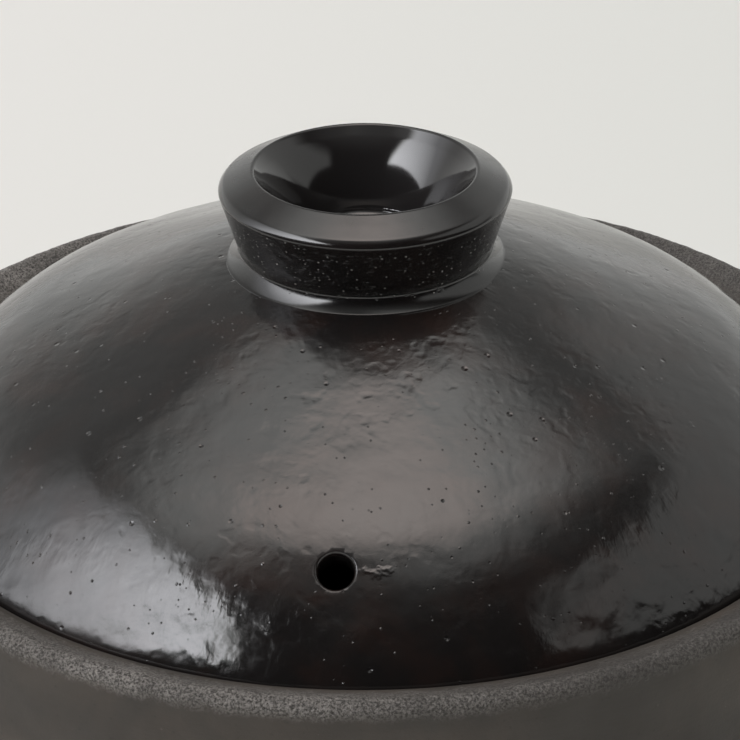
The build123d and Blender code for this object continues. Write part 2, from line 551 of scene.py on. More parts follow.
@dataclass(frozen=True)
class BareClay(Finish):
    """Unglazed brown-black clay: smooth where it was sponged, gritty over the rim.

    Heights, from grain to mark, are in millimetres.
    """

    strip_radius: float = 0.0
    rim_level: float = 0.0
    grain: float = 0.30
    sand: float = 0.16
    tooth: float = 0.065
    mark: float = 0.075
    valley_colour: Colour = (0.029, 0.025, 0.022)
    salt_colour: Colour = (0.350, 0.327, 0.305)
    fleck_colour: Colour = (0.190, 0.170, 0.150)
    soot_colour: Colour = (0.014, 0.013, 0.012)
    # painted light: the grit's pale grains are brightest on the left and fade towards the right, as if
    # lit from the left
    painted_light_reach: Point = (-55.0 * MM, 50.0 * MM)
    least_painted_light: float = 0.38

    def grit(self, paint: Paint, place: Wire) -> Wire:
        """The mask of the gritty band over the rim.

        Args:
            paint: the tree.
            place: the point on the pot.

        Returns:
            1 on the band, fading raggedly at its sides.
        """
        x, y, z = paint.parts(place)
        ragged = paint.noise(place, 2.2 * MM, 3.0, 0.6).eased(0.25, 0.75, -0.5 * MM, 0.5 * MM)
        radius = paint.from_axis(x, y) + ragged
        level = z + ragged
        beyond = radius.eased(self.strip_radius - 0.5 * MM, self.strip_radius + 0.5 * MM)
        return beyond * level.eased(self.rim_level - 4.2 * MM, self.rim_level - 1.2 * MM)

    def relief(self, paint: Paint, place: Wire) -> Wire:
        """Raise coarse grit on the band, and a fine tooth and turning marks elsewhere.

        Args:
            paint: the tree.
            place: the point on the piece.

        Returns:
            The height in millimetres.
        """
        band = self.grit(paint, place)
        grains = paint.noise(place, 0.9 * MM, 4.0, 0.7).eased(0.3, 0.8) * self.grain
        sand = paint.spots(place, 1.1 * MM, 0.4 * MM, 0.6) * self.sand
        tooth = paint.noise(place, 0.6 * MM, 3.0, 0.6) * self.tooth
        marks = paint.noise(paint.stretched(place, (0.08, 0.08, 1.0)), 1.3 * MM, 2.0) * self.mark
        return (grains + sand) * band + tooth + marks * (1.0 - band)

    def shade(self, paint: Paint, place: Wire) -> Wire:
        """Colour it clay brown, greyer on the grit, with painted light that makes the grit palest on its
        left, and with dark and pale specks.

        Args:
            paint: the tree.
            place: the point on the piece.

        Returns:
            The colour.
        """
        band = self.grit(paint, place)
        patches = paint.noise(place, 30 * MM, 4.0, 0.6, 0.5).eased(0.35, 0.7)
        body = paint.blend(patches, self.colour, self.tint)
        grey = paint.noise(place, 0.50 * MM, 3.0, 0.75).eased(0.34, 0.66)
        worn = paint.noise(place, 18 * MM, 3.0, 0.6).eased(0.35, 0.62, 0.55, 1.0)
        # painted light: the grit's pale grains fade from the left to the right
        across, _, _ = paint.parts(place)
        painted_left_light = across.eased(*self.painted_light_reach, 1.0, self.least_painted_light)
        salt = paint.blend(grey * worn * painted_left_light, self.valley_colour, self.salt_colour)
        mixed = paint.blend(band, body, salt)
        dark = paint.spots(place, 1.5 * MM, 0.40 * MM, 0.4)
        pale = paint.spots(paint.stretched(place, (1.0, 1.02, 1.0)), 2.4 * MM, 0.26 * MM, 0.3)
        flecked = paint.blend(pale * (1.0 - band) * 0.35, mixed, self.fleck_colour)
        return paint.blend(dark * (0.30 + band * 0.5), flecked, self.soot_colour)

    def sheen(self, paint: Paint, place: Wire) -> Wire:
        """Make it dry, and a little burnished where it is smooth.

        Args:
            paint: the tree.
            place: the point on the piece.

        Returns:
            The roughness.
        """
        band = self.grit(paint, place)
        burnish = paint.noise(place, 9 * MM, 3.0).eased(0.3, 0.7, -0.06, 0.06)
        return self.roughness + burnish - band * 0.08


@dataclass(frozen=True)
class SatinGlaze(Finish):
    """Thin brown-black glaze inside the pot and on the inner lid."""

    def relief(self, paint: Paint, place: Wire) -> Wire:
        """Raise soft throwing waves and a fine orange skin.

        Args:
            paint: the tree.
            place: the point on the piece.

        Returns:
            The height in millimetres.
        """
        waves = paint.noise(paint.stretched(place, (0.25, 0.25, 1.0)), 6.0 * MM, 2.0) * 0.05
        skin = paint.noise(place, 1.4 * MM, 2.0) * 0.012
        pinholes = paint.spots(place, 4.0 * MM, 0.35 * MM, 0.2) * 0.10
        return waves + skin - pinholes


class Outline:
    """A half-section traced from point to point, as (radius, height)."""

    def __init__(self, radius: float, height: float, step: float) -> None:
        """Start the trace at a point, with the spacing of the points to come."""
        self.points = [Vector((radius, height))]
        self.step = step

    def _count(self, length: float) -> int:
        """How many steps a stretch takes."""
        return max(1, round(length / self.step))

    def line(self, radius: float, height: float) -> "Outline":
        """A straight stretch to a point.

        Args:
            radius: where it ends.
            height: how high it ends.

        Returns:
            This outline.
        """
        start, end = self.points[-1], Vector((radius, height))
        steps = self._count((end - start).length)
        self.points += [start.lerp(end, n / steps) for n in range(1, steps + 1)]
        return self

    def arc(self, radius: float, height: float, tangent: Point) -> "Outline":
        """An arc that leaves the last point along a tangent.

        Args:
            radius: where the arc ends.
            height: how high the arc ends.
            tangent: its direction at the start.

        Returns:
            This outline.
        """
        end = Vector((radius, height))
        self.points += self._swept(self.points[-1], end, Vector(tangent).normalized())
        return self

    def arc_arriving(self, radius: float, height: float, tangent: Point) -> "Outline":
        """An arc that reaches a point along a tangent.

        Args:
            radius: where the arc ends.
            height: how high the arc ends.
            tangent: its direction at the end.

        Returns:
            This outline.
        """
        back = self._swept(Vector((radius, height)), self.points[-1], -Vector(tangent).normalized())
        self.points += [*reversed(back[:-1]), Vector((radius, height))]
        return self

    def _swept(self, start: Vector, end: Vector, tangent: Vector) -> list[Vector]:
        """Sample an arc.

        Args:
            start: its first point.
            end: its last point.
            tangent: its direction at the start.

        Returns:
            Its points after the first.
        """
        chord = end - start
        side = Vector((-tangent.y, tangent.x))
        radius = chord.length_squared / (2 * chord.dot(side))
        centre = start + side * radius
        turn = 2 * math.atan2(tangent.x * chord.y - tangent.y * chord.x, tangent.dot(chord))
        return self._fanned(centre, start - centre, turn, abs(radius))

    def _fanned(self, centre: Vector, spoke: Vector, turn: float, rounding: float) -> list[Vector]:
        """Carry a spoke as long as rounding round a centre, and give the points after the first."""
        steps = self._count(abs(turn) * rounding)
        return [centre + Matrix.Rotation(turn * n / steps, 2) @ spoke for n in range(1, steps + 1)]

    def bend(self, rounding: float, first: float, last: float) -> "Outline":
        """An arc of a known radius between two headings.

        Args:
            rounding: the arc's radius.
            first: the heading at its start, in degrees from straight out.
            last: the heading at its end.

        Returns:
            This outline.
        """
        turn = math.radians(last - first)
        heading = math.radians(first)
        reach = math.copysign(rounding, turn)
        centre = self.points[-1] + reach * Vector((-math.sin(heading), math.cos(heading)))
        spoke = self.points[-1] - centre
        self.points += self._fanned(centre, spoke, turn, rounding)
        return self

    def corner(self, radius: float, height: float, ahead: Point, rounding: float) -> "Outline":
        """A straight stretch that turns a rounded corner towards the point ahead.

        Args:
            radius: the sharp corner's distance from the axis.
            height: the sharp corner's height.
            ahead: a point that the trace heads for after the corner.
            rounding: the radius of the round.

        Returns:
            This outline.
        """
        sharp = Vector((radius, height))
        before = (sharp - self.points[-1]).normalized()
        after = (Vector(ahead) - sharp).normalized()
        run = rounding * math.tan(before.angle(after) / 2)
        self.line(*(sharp - before * run))
        return self.arc(*(sharp + after * run), tuple(before))


@dataclass(frozen=True)
class Dents:
    """A soft cloudy pattern to press into clay or glaze.

    Its depth is how far the whole range of the pattern moves the surface, and rest is the value that
    moves nothing.
    """

    grain: float
    depth: float
    rest: float
    layers: int


class Shop:
    """The maker's hand tools: each works on one mesh with Blender's own operators."""

    @staticmethod
    def clear_selection() -> None:
        """Select nothing, in object mode."""
        if bpy.context.object and bpy.context.object.mode != "OBJECT":
            bpy.ops.object.mode_set(mode="OBJECT")
        bpy.ops.object.select_all(action="DESELECT")

    @staticmethod
    def hold(piece: bpy.types.Object) -> None:
        """Make a piece the only one that is selected and active.

        Args:
            piece: the piece.
        """
        Shop.clear_selection()
        piece.select_set(True)
        bpy.context.view_layer.objects.active = piece

    @staticmethod
    def throw(name: str, outline: Outline, segments: int) -> bpy.types.Object:
        """Turn a half-section, from axis to axis, into a closed round piece.

        Args:
            name: the piece's name.
            outline: the half-section.
            segments: how many steps the full turn has, a multiple of WEDGES.

        Returns:
            The piece.
        """
        Shop.clear_selection()
        bpy.ops.mesh.primitive_plane_add(size=MM)
        piece = bpy.context.object
        piece.name = piece.data.name = name
        bpy.ops.object.mode_set(mode="EDIT")
        bpy.ops.mesh.select_mode(type="VERT")
        bpy.ops.mesh.select_all(action="SELECT")
        bpy.ops.mesh.merge(type="CENTER")
        last = Vector((0.0, 0.0))
        for n, point in enumerate(outline.points):
            move = point - last
            shift = (move.x, 0.0, move.y)
            if n:
                bpy.ops.mesh.extrude_region_move(TRANSFORM_OT_translate={"value": shift})
            else:
                bpy.ops.transform.translate(value=shift)
            last = point
        wedge = FULL_TURN / WEDGES
        bpy.ops.mesh.select_all(action="SELECT")
        wheel = {"center": (0, 0, 0), "axis": (0, 0, 1)}
        bpy.ops.mesh.spin(steps=segments // WEDGES, angle=wedge, **wheel)
        bpy.ops.mesh.select_all(action="SELECT")
        bpy.ops.mesh.spin(steps=WEDGES - 1, dupli=True, angle=FULL_TURN - wedge, **wheel)
        bpy.ops.mesh.select_all(action="SELECT")
        bpy.ops.mesh.remove_doubles(threshold=WELD)
        bpy.ops.mesh.normals_make_consistent(inside=False)
        bpy.ops.object.mode_set(mode="OBJECT")
        return piece

    @staticmethod
    def mask(piece: bpy.types.Object, name: str, weight: Callable[[Vector], float]) -> str:
        """Name the part of a piece that a tool may touch.

        Args:
            piece: the piece.
            name: the mask's name.
            weight: how much of the tool's effect each place takes, from 0 to 1.

        Returns:
            The mask's name.
        """
        group = piece.vertex_groups.new(name=name)
        levels: dict[int, list[int]] = {}
        for vertex in piece.data.vertices:
            level = round(MASK_LEVELS * share_of(weight(vertex.co)))
            levels.setdefault(level, []).append(vertex.index)
        for level, indices in levels.items():
            if level:
                group.add(indices, level / MASK_LEVELS, "REPLACE")
        return name

    @staticmethod
    def press(piece: bpy.types.Object, dents: Dents, mask: str = "") -> None:
        """Press a soft pattern into a piece along its normals.

        Args:
            piece: the piece.
            dents: the pattern.
            mask: the mask that limits it.
        """
        pattern = bpy.data.textures.new(f"{piece.name}_clouds", "CLOUDS")
        pattern.noise_scale = dents.grain
        pattern.noise_depth = dents.layers
        Shop.hold(piece)
        modifier = piece.modifiers.new("press", "DISPLACE")
        modifier.texture = pattern
        modifier.texture_coords = "LOCAL"
        modifier.direction = "NORMAL"
        modifier.strength = dents.depth
        modifier.mid_level = dents.rest
        modifier.vertex_group = mask
        bpy.ops.object.modifier_apply(modifier=modifier.name)

    @staticmethod
    def bore(piece: bpy.types.Object, cutter: bpy.types.Object) -> None:
        """Cut one closed mesh out of another, and drop the cutter.

        Args:
            piece: the mesh that is cut.
            cutter: the mesh that cuts.
        """
        Shop.hold(piece)
        modifier = piece.modifiers.new("bore", "BOOLEAN")
        modifier.operation = "DIFFERENCE"
        modifier.solver = "EXACT"
        modifier.object = cutter
        bpy.ops.object.modifier_apply(modifier=modifier.name)
        bpy.data.objects.remove(cutter)

    @staticmethod
    def settle(piece: bpy.types.Object, matrix: Matrix) -> None:
        """Turn and move a piece and keep its object at the origin.

        Args:
            piece: the piece.
            matrix: where it goes.
        """
        Shop.hold(piece)
        piece.matrix_world = matrix
        bpy.ops.object.transform_apply(location=True, rotation=True, scale=True)

    @staticmethod
    def smooth(piece: bpy.types.Object, angle: float = 50.0) -> None:
        """Shade a piece smooth, apart from edges sharper than an angle in degrees."""
        Shop.hold(piece)
        bpy.ops.object.shade_smooth_by_angle(angle=math.radians(angle))

    @staticmethod
    def dress(piece: bpy.types.Object, finishes: list[bpy.types.Material],
              choose: Callable[[Vector], int] = lambda centre: 0) -> None:
        """Give a piece its finishes.

        Args:
            piece: the piece.
            finishes: the materials.
            choose: the material's number for a face with this centre.
        """
        piece.data.materials.clear()
        for finish in finishes:
            piece.data.materials.append(finish)
        for face in piece.data.polygons:
            face.material_index = choose(face.center)

    @staticmethod
    def deliver(piece: bpy.types.Object, body: Body, slot: Slot, *nodes: str) -> None:
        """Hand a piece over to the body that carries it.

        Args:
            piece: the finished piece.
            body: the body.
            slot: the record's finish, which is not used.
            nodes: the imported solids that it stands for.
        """
        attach(piece, body.value)
        if nodes:
            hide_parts(*nodes)
        log.info("%s: %d faces on %s", piece.name, len(piece.data.polygons), body.value)


def falling(angle: float) -> Vector:
    """The unit direction, as (radius, height), of a surface that falls at an angle in degrees."""
    return Vector((math.cos(math.radians(angle)), -math.sin(math.radians(angle))))


def share_of(amount: float) -> float:
    """An amount kept between 0 and 1."""
    return min(1.0, max(0.0, amount))


@dataclass
class OuterLid:
    """The domed lid, whose thrown slopes are given as (radius, degrees)."""

    thickness: float = 7.0 * MM
    edge_round: float = 3.15 * MM
    seat_width: float = 6.0 * MM
    skirt_width: float = 15.7 * MM
    skirt_angle: float = 51.0
    dome_angle: float = 21.1
    shoulder_radius: float = 48.0 * MM
    seat_radius: float = 28.1 * MM
    seat_sink: float = 0.5 * MM
    slopes: tuple[Point, ...] = (
        (28.1 * MM, 14.0), (36 * MM, 17.2), (44 * MM, 20.3), (52 * MM, 22.0), (60 * MM, 22.3),
        (68 * MM, 22.0), (76 * MM, 26.0), (84 * MM, 37.0), (90 * MM, 47.0), (94 * MM, 49.8),
        (98 * MM, 51.2), (99.7 * MM, 55.0),
    )
    hole_radius: float = 3.4 * MM
    hole_inset: float = 14.6 * MM
    hole_azimuth: float = -94.0
    hole_lip: float = 1.0 * MM
    hole_depth: float = 0.12 * MM
    hole_segments: int = 80
    glaze_line: float = 3.0 * MM
    waves: Dents = Dents(34 * MM, 0.40 * MM, 0.6, 1)
    hammering: Dents = Dents(11 * MM, 0.16 * MM, 0.6, 2)
    ripples: Dents = Dents(5.0 * MM, 0.07 * MM, 0.6, 1)
    segments: int = 608
    step: float = 0.92 * MM
    low: Vector = field(default_factory=lambda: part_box("outer_lid")[0])
    high: Vector = field(default_factory=lambda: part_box("outer_lid")[1])

    def skirt_foot(self) -> Vector:
        """Find where the skirt meets the round of the edge.

        Returns:
            The point.
        """
        slope = falling(self.slopes[-1][1])
        centre = Vector((self.high.x - self.edge_round, self.low.z + self.edge_round))
        return centre + Vector((-slope.y, slope.x)) * self.edge_round

    def shoulder(self, depth: float = 0.0) -> Vector:
        """Find where the straight lines of dome and skirt would meet.

        Args:
            depth: how far below the surface.

        Returns:
            The point.
        """
        skirt, dome = falling(self.skirt_angle), falling(self.dome_angle)
        centre = Vector((self.high.x - self.edge_round, self.low.z + self.edge_round))
        foot = centre + Vector((-skirt.y, skirt.x)) * self.edge_round
        radius = foot.x - self.skirt_width
        corner = Vector((radius, foot.y + self.skirt_width * math.tan(math.radians(self.skirt_angle))))
        normals = Vector((-skirt.y, skirt.x)) + Vector((-dome.y, dome.x))
        return corner - normals * (depth / (1 + skirt.dot(dome)))

    def ceiling(self, radius: float, depth: float = 0.0) -> float:
        """The height of the dome's straight line at a radius, at a depth."""
        corner = self.shoulder(depth)
        return corner.y + (corner.x - radius) * math.tan(math.radians(self.dome_angle))

    def slope(self, radius: float) -> float:
        """Read the thrown dome's slope.

        Args:
            radius: the distance from the axis.

        Returns:
            The slope there, in radians.
        """
        for (near, first), (far, second) in zip(self.slopes, self.slopes[1:]):
            if radius <= far:
                along = max(0.0, (radius - near) / (far - near))
                return math.radians(first + (second - first) * along)
        return math.radians(self.slopes[-1][1])

    def dome(self) -> list[Vector]:
        """Points down the outside, from the knob's seat to the round of the edge.

        Returns:
            The points, whose last one is the skirt's foot.
        """
        foot = self.skirt_foot()
        points = [Vector((self.seat_radius, self.high.z - self.seat_sink))]
        while points[-1].x < foot.x:
            run = min(self.step * math.cos(self.slope(points[-1].x)), foot.x - points[-1].x + HAIR)
            fall = run * math.tan(self.slope(points[-1].x + run / 2))
            points.append(points[-1] + Vector((run, -fall)))
        miss = foot.y - points[-1].y
        width = foot.x - self.seat_radius
        return [p + Vector((0, miss * (p.x - self.seat_radius) / width)) for p in points[1:]]

    def outline(self) -> Outline:
        """Trace the lid's half-section, from the axis over the dome, round the edge and back below.

        Returns:
            The outline.
        """
        skirt = falling(self.skirt_angle)
        edge = Vector((self.high.x, self.low.z + self.edge_round))
        seat_edge = self.high.x - self.edge_round
        seat_inner = seat_edge - self.seat_width
        inner = self.shoulder(self.thickness)
        inner_foot = inner + skirt * ((seat_inner - inner.x) / skirt.x)
        trace = Outline(0, self.high.z, 4 * self.step)
        trace.line(self.seat_radius - 6 * self.seat_sink, self.high.z)
        trace.line(self.seat_radius, self.high.z - self.seat_sink)
        trace.points += self.dome()
        trace.step = self.step / 2
        trace.arc(*edge, tuple(falling(self.slopes[-1][1])))
        trace.arc(seat_edge, self.low.z, (0, -1))
        trace.step = 3 * self.step
        trace.line(seat_inner, self.low.z)
        trace.line(*inner_foot)
        top = self.ceiling(self.seat_radius, self.thickness)
        trace.corner(*inner, (self.seat_radius, top), self.shoulder_radius - self.thickness)
        trace.line(self.seat_radius, top)
        trace.line(0, top)
        return trace

    def hole_cutter(self) -> bpy.types.Object:
        """Make the punch for the steam hole, flared at both ends so that it leaves rounded lips.

        Returns:
            The punch, in its place.
        """
        radius = self.high.x - self.hole_inset
        lean = self.slope(radius)
        surface = min(self.dome(), key=lambda point: abs(point.x - radius))
        surface = surface - Vector((1, -math.tan(lean))) * (surface.x - radius)
        half, lip, wide = self.thickness / 2, self.hole_lip, self.hole_radius + self.hole_lip
        middle = surface - Vector((math.sin(lean), math.cos(lean))) * (half + self.hole_depth)
        clear, mouth, neck = half + 2 * lip, half + 0.1 * lip, half - 0.9 * lip
        trace = Outline(0, -clear, lip / 4)
        trace.line(wide, -clear).line(wide, -mouth)
        trace.arc_arriving(self.hole_radius, -neck, (0, 1))
        trace.line(self.hole_radius, neck)
        trace.arc(wide, mouth, (0, 1))
        trace.line(wide, clear).line(0, clear)
        cutter = Shop.throw("steam_punch", trace, self.hole_segments)
        turn = Matrix.Rotation(math.radians(self.hole_azimuth), 4, "Z")
        place = Matrix.Translation((middle.x, 0, middle.y)) @ Matrix.Rotation(lean, 4, "Y")
        Shop.settle(cutter, turn @ place)
        return cutter

    def build(self, glaze: bpy.types.Material) -> bpy.types.Object:
        """Throw the lid, dimple its outside and punch the steam hole.

        Args:
            glaze: the black glaze.

        Returns:
            The lid.
        """
        lid = Shop.throw("lid_dome", self.outline(), self.segments)
        floor = self.low.z + self.glaze_line
        outside = Shop.mask(lid, "outside", lambda at: self._outside(at, floor))
        skirt = Shop.mask(lid, "skirt", lambda at: self._outside(at, floor) * self._on_skirt(at))
        Shop.press(lid, self.waves, outside)
        Shop.press(lid, self.hammering, outside)
        Shop.press(lid, self.ripples, skirt)
        Shop.bore(lid, self.hole_cutter())
        Shop.smooth(lid)
        Shop.dress(lid, [glaze])
        Shop.deliver(lid, Body.OUTER_LID, Slot.BLACK_GLAZE, "outer_lid")
        return lid

    def _outside(self, at: Vector, floor: float) -> float:
        """Tell how much a point belongs to the lid's glazed outside.

        Args:
            at: the point.
            floor: the height at which the glaze starts.

        Returns:
            A share from 0 to 1.
        """
        radius = math.hypot(at.x, at.y)
        under = self.ceiling(radius, self.thickness * 0.6) if radius < self.shoulder().x else floor
        if at.z < max(under, floor - 2 * MM):
            return 0.0
        return share_of((at.z - floor) / (2 * MM))

    def _on_skirt(self, at: Vector) -> float:
        """How much a point belongs to the steep part of the lid."""
        radius = math.hypot(at.x, at.y)
        return share_of((radius - self.shoulder().x + 6 * MM) / (8 * MM))


@dataclass
class LidKnob:
    """The flared knob with its sloping land and hollow bowl.

    Each bend of its fillet and its edge is (radius, heading at its start, heading at its end).
    """

    neck_radius: float = 26.75 * MM
    fillet_height: float = 2.40 * MM
    fillet: tuple[Bend, ...] = (
        (1.6 * MM, 164.0, 140.0), (8.6 * MM, 140.0, 120.0), (0.7 * MM, 120.0, 72.0),
    )
    foot_lip: float = 1.1 * MM
    foot_chamfer: Point = (0.12 * MM, 0.15 * MM)
    crest_inset: float = 7.3 * MM
    land_rise: float = 3.0 * MM
    land_crown: float = 0.05 * MM
    edge: tuple[Bend, ...] = (
        (0.5 * MM, 72.0, 100.0), (0.9 * MM, 100.0, 115.0), (4.0 * MM, 115.0, 138.0),
        (0.7 * MM, 138.0, 153.8),
    )
    bowl_lip: Point = (21.2 * MM, 2.2 * MM)
    bowl_wall: Point = (13.5 * MM, 15.6 * MM)
    bowl_lip_angle: float = 50.0
    bowl_depth: float = 16.7 * MM
    bowl_round: float = 2.0 * MM
    bowl_dish: float = 0.3 * MM
    land_round: float = 30.0 * MM
    arris_round: float = 0.4 * MM
    sand: Dents = Dents(2.4 * MM, 0.10 * MM, 0.6, 2)
    waves: Dents = Dents(20 * MM, 0.22 * MM, 0.9, 1)
    segments: int = 512
    step: float = 0.40 * MM
    low: Vector = field(default_factory=lambda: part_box("outer_lid_knob")[0])
    high: Vector = field(default_factory=lambda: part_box("outer_lid_knob")[1])

    def crest(self) -> Vector:
        """The ridge between the land and the bowl."""
        return Vector((self.high.x - self.crest_inset, self.high.z))

    def run_of(self, bends: tuple[Bend, ...]) -> Vector:
        """Follow a chain of bends from nothing.

        Args:
            bends: the bends.

        Returns:
            How far they carry the trace, as (radius, height).
        """
        trace = Outline(0, 0, self.step)
        for bend in bends:
            trace.bend(*bend)
        return trace.points[-1]

    def edge_foot(self) -> Vector:
        """Place the rounded edge so that it just reaches the widest radius.

        Returns:
            Where the neck meets it.
        """
        rounding, heading, _ = self.edge[0]
        swell = rounding * (1 - math.sin(math.radians(heading)))
        rise = self.run_of(self.edge).y
        return Vector((self.high.x - swell, self.high.z - self.land_rise - rise))

    def outline(self) -> Outline:
        """Trace the knob's half-section, from the axis below, up its side and down into the bowl.

        Returns:
            The outline.
        """
        crest, edge_foot = self.crest(), self.edge_foot()
        neck = Vector((self.neck_radius, self.low.z + self.fillet_height))
        foot = neck - self.run_of(self.fillet)
        trace = Outline(0, foot.y - self.foot_lip, 5 * self.step)
        trace.line(foot.x, foot.y - self.foot_lip)
        trace.step = self.step / 2
        trace.line(foot.x + self.foot_chamfer[0], foot.y - self.foot_chamfer[1])
        trace.line(*foot)
        for bend in self.fillet:
            trace.bend(*bend)
        trace.step = self.step
        trace.line(*edge_foot)
        trace.step = self.step / 2
        for bend in self.edge:
            trace.bend(*bend)
        trace.step = self.step
        middle = trace.points[-1].lerp(crest, 0.5) + Vector((0, self.land_crown))
        trace.corner(*middle, tuple(crest), self.land_round)
        lip = Vector((self.bowl_lip[0], self.high.z - self.bowl_lip[1]))
        wall = Vector((self.bowl_wall[0], self.high.z - self.bowl_wall[1]))
        floor = self.high.z - self.bowl_depth
        trace.corner(*crest, tuple(lip), self.arris_round)
        trace.line(*lip)
        lip_angle = math.radians(self.bowl_lip_angle)
        trace.arc(*wall, (-math.cos(lip_angle), -math.sin(lip_angle)))
        steep = (trace.points[-1] - trace.points[-2]).normalized()
        corner = wall + steep * ((wall.y - floor) / -steep.y)
        trace.corner(*corner, (0, floor - self.bowl_dish), self.bowl_round)
        trace.line(0, floor - self.bowl_dish)
        return trace

    def build(self, glaze: bpy.types.Material) -> bpy.types.Object:
        """Throw the knob and roughen its neck.

        Args:
            glaze: the knob's glaze.

        Returns:
            The knob.
        """
        knob = Shop.throw("lid_knob", self.outline(), self.segments)
        neck_low, neck_high = self.low.z + self.fillet_height, self.edge_foot().y - MM
        wide = self.neck_radius - 4 * MM
        neck = Shop.mask(knob, "neck", lambda at: self._on_neck(at, neck_low, neck_high, wide))
        Shop.press(knob, self.sand, neck)
        Shop.press(knob, self.waves)
        Shop.smooth(knob, 60.0)
        Shop.dress(knob, [glaze])
        Shop.deliver(knob, Body.OUTER_LID, Slot.BLACK_GLAZE, "outer_lid_knob")
        return knob

    def _on_neck(self, at: Vector, low: float, high: float, wide: float) -> float:
        """Tell how much a point belongs to the neck's side.

        Args:
            at: the point.
            low: the neck's lowest height.
            high: its highest.
            wide: the radius beyond which it lies.

        Returns:
            A share from 0 to 1.
        """
        if math.hypot(at.x, at.y) < wide:
            return 0.0
        return share_of(min(at.z - low, high - at.z) / MM)


@dataclass
class Pot:
    """The pot body with its foot, bowl, ledges and gritty collar."""

    foot_radius: float = 64.0 * MM
    foot_height: float = 4.0 * MM
    foot_step: float = 2.0 * MM
    foot_land_width: float = 14.0 * MM
    foot_recess_depth: float = 2.5 * MM
    floor_radius: float = 56.0 * MM
    floor_thickness: float = 13.0 * MM
    wall_thickness: float = 11.0 * MM
    belly_bulge: float = 1.2 * MM
    rim_round: float = 2.5 * MM
    collar_width: float = 8.9 * MM
    collar_slope_angle: float = 27.5
    collar_depth: float = 4.85 * MM
    pocket_radius: float = 86.5 * MM
    pocket_depth: float = 8.7 * MM
    throat_radius: float = 79.0 * MM
    throat_lip: float = 8.0 * MM
    shoulder_height: float = 23.0 * MM
    strip_width: float = 2.3 * MM
    foot_round: float = 1.2 * MM
    collar_round: float = 0.5 * MM
    ledge_round: float = 0.8 * MM
    band_height: float = 5.0 * MM
    side_fade: float = 6.0 * MM
    grit: Dents = Dents(1.5 * MM, 0.34 * MM, 0.75, 2)
    lumps: Dents = Dents(7 * MM, 0.30 * MM, 0.75, 1)
    waves: Dents = Dents(30 * MM, 0.5 * MM, 0.8, 2)
    segments: int = 624
    step: float = 1.05 * MM
    high: Vector = field(default_factory=lambda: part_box("pot_body")[1])

    def rim_side(self) -> Vector:
        """Where the outer wall meets the round of the rim."""
        return Vector((self.high.x - self.belly_bulge, self.high.z - self.rim_round))

    def collar_foot(self) -> Vector:
        """Find where the collar's slope starts beside the lid.

        Returns:
            The point.
        """
        slope = math.radians(self.collar_slope_angle)
        radius = self.rim_side().x - self.rim_round - self.collar_width
        rise = self.rim_round / math.cos(slope) - self.collar_width * math.tan(slope)
        return Vector((radius, self.high.z - self.rim_round + rise))

    def outline(self) -> Outline:
        """Trace the pot's half-section, from the axis under the foot, up the outside and down inside.

        Returns:
            The outline.
        """
        slope = math.radians(self.collar_slope_angle)
        rim_side, collar = self.rim_side(), self.collar_foot()
        outer_ledge = collar.y - self.collar_depth
        inner_ledge = outer_ledge - self.pocket_depth
        throat = inner_ledge - self.throat_lip
        belly = throat - self.shoulder_height
        recess = self.foot_radius - self.foot_land_width
        crest = Vector((rim_side.x - self.rim_round, rim_side.y))
        slope_top = crest + self.rim_round * Vector((-math.sin(slope), math.cos(slope)))
        trace = Outline(0, self.foot_recess_depth, 5 * self.step)
        trace.line(recess, self.foot_recess_depth)
        trace.line(recess, 0)
        trace.corner(self.foot_radius, 0, (self.foot_radius, self.foot_height), self.foot_round)
        trace.step = 2.4 * self.step
        trace.line(self.foot_radius, self.foot_height)
        trace.line(self.foot_radius + self.foot_step, self.foot_height)
        trace.arc_arriving(self.high.x, belly, (0, 1))
        trace.arc(*rim_side, (0, 1))
        trace.step = self.step / 2
        trace.arc(*slope_top, (0, 1))
        trace.corner(*collar, (collar.x, outer_ledge), self.collar_round)
        trace.step = 1.6 * self.step
        trace.line(collar.x, outer_ledge)
        trace.corner(self.pocket_radius, outer_ledge, (self.pocket_radius, inner_ledge), self.ledge_round)
        trace.line(self.pocket_radius, inner_ledge)
        trace.corner(self.throat_radius, inner_ledge, (self.throat_radius, throat), self.ledge_round)
        trace.line(self.throat_radius, throat)
        trace.step = 4.5 * self.step
        trace.arc_arriving(self.high.x - self.wall_thickness, belly, (0, -1))
        trace.arc(self.floor_radius, self.floor_thickness, (0, -1))
        trace.line(0, self.floor_thickness)
        return trace

    def build(self, clay: bpy.types.Material, glaze: bpy.types.Material) -> bpy.types.Object:
        """Throw the pot, roughen its collar and glaze its inside.

        Args:
            clay: the bare clay.
            glaze: the glaze inside.

        Returns:
            The pot.
        """
        pot = Shop.throw("pot_wall", self.outline(), self.segments)
        collar = self.collar_foot()
        band = Shop.mask(pot, "band", lambda at: self._on_band(at, collar))
        side = Shop.mask(pot, "side", self._on_side)
        Shop.press(pot, self.grit, band)
        Shop.press(pot, self.lumps, band)
        Shop.press(pot, self.waves, side)
        Shop.smooth(pot)
        throat = collar.y - self.collar_depth - self.pocket_depth
        Shop.dress(pot, [clay, glaze], lambda at: self._is_glazed(at, throat))
        Shop.deliver(pot, Body.POT, Slot.CLAY, "pot_body")
        return pot

    def _on_band(self, at: Vector, collar: Vector) -> float:
        """Tell how much a point belongs to the gritty band over the rim.

        Args:
            at: the point.
            collar: the foot of the collar's slope.

        Returns:
            A share from 0 to 1.
        """
        radius = math.hypot(at.x, at.y)
        if at.z < self.high.z - self.band_height:
            return 0.0
        return share_of((radius - collar.x - self.strip_width) / (0.8 * MM))

    def _on_side(self, at: Vector) -> float:
        """Tell how much a point belongs to the pot's outer side.

        Args:
            at: the point.

        Returns:
            A share from 0 to 1.
        """
        radius = math.hypot(at.x, at.y)
        flare = (self.high.x - self.foot_radius) * min(1.0, at.z / self.high.z)
        if radius < self.foot_radius + flare - self.side_fade:
            return 0.0
        inwards = min(at.z - self.side_fade, self.high.z - self.side_fade - at.z)
        return share_of(inwards / self.side_fade)

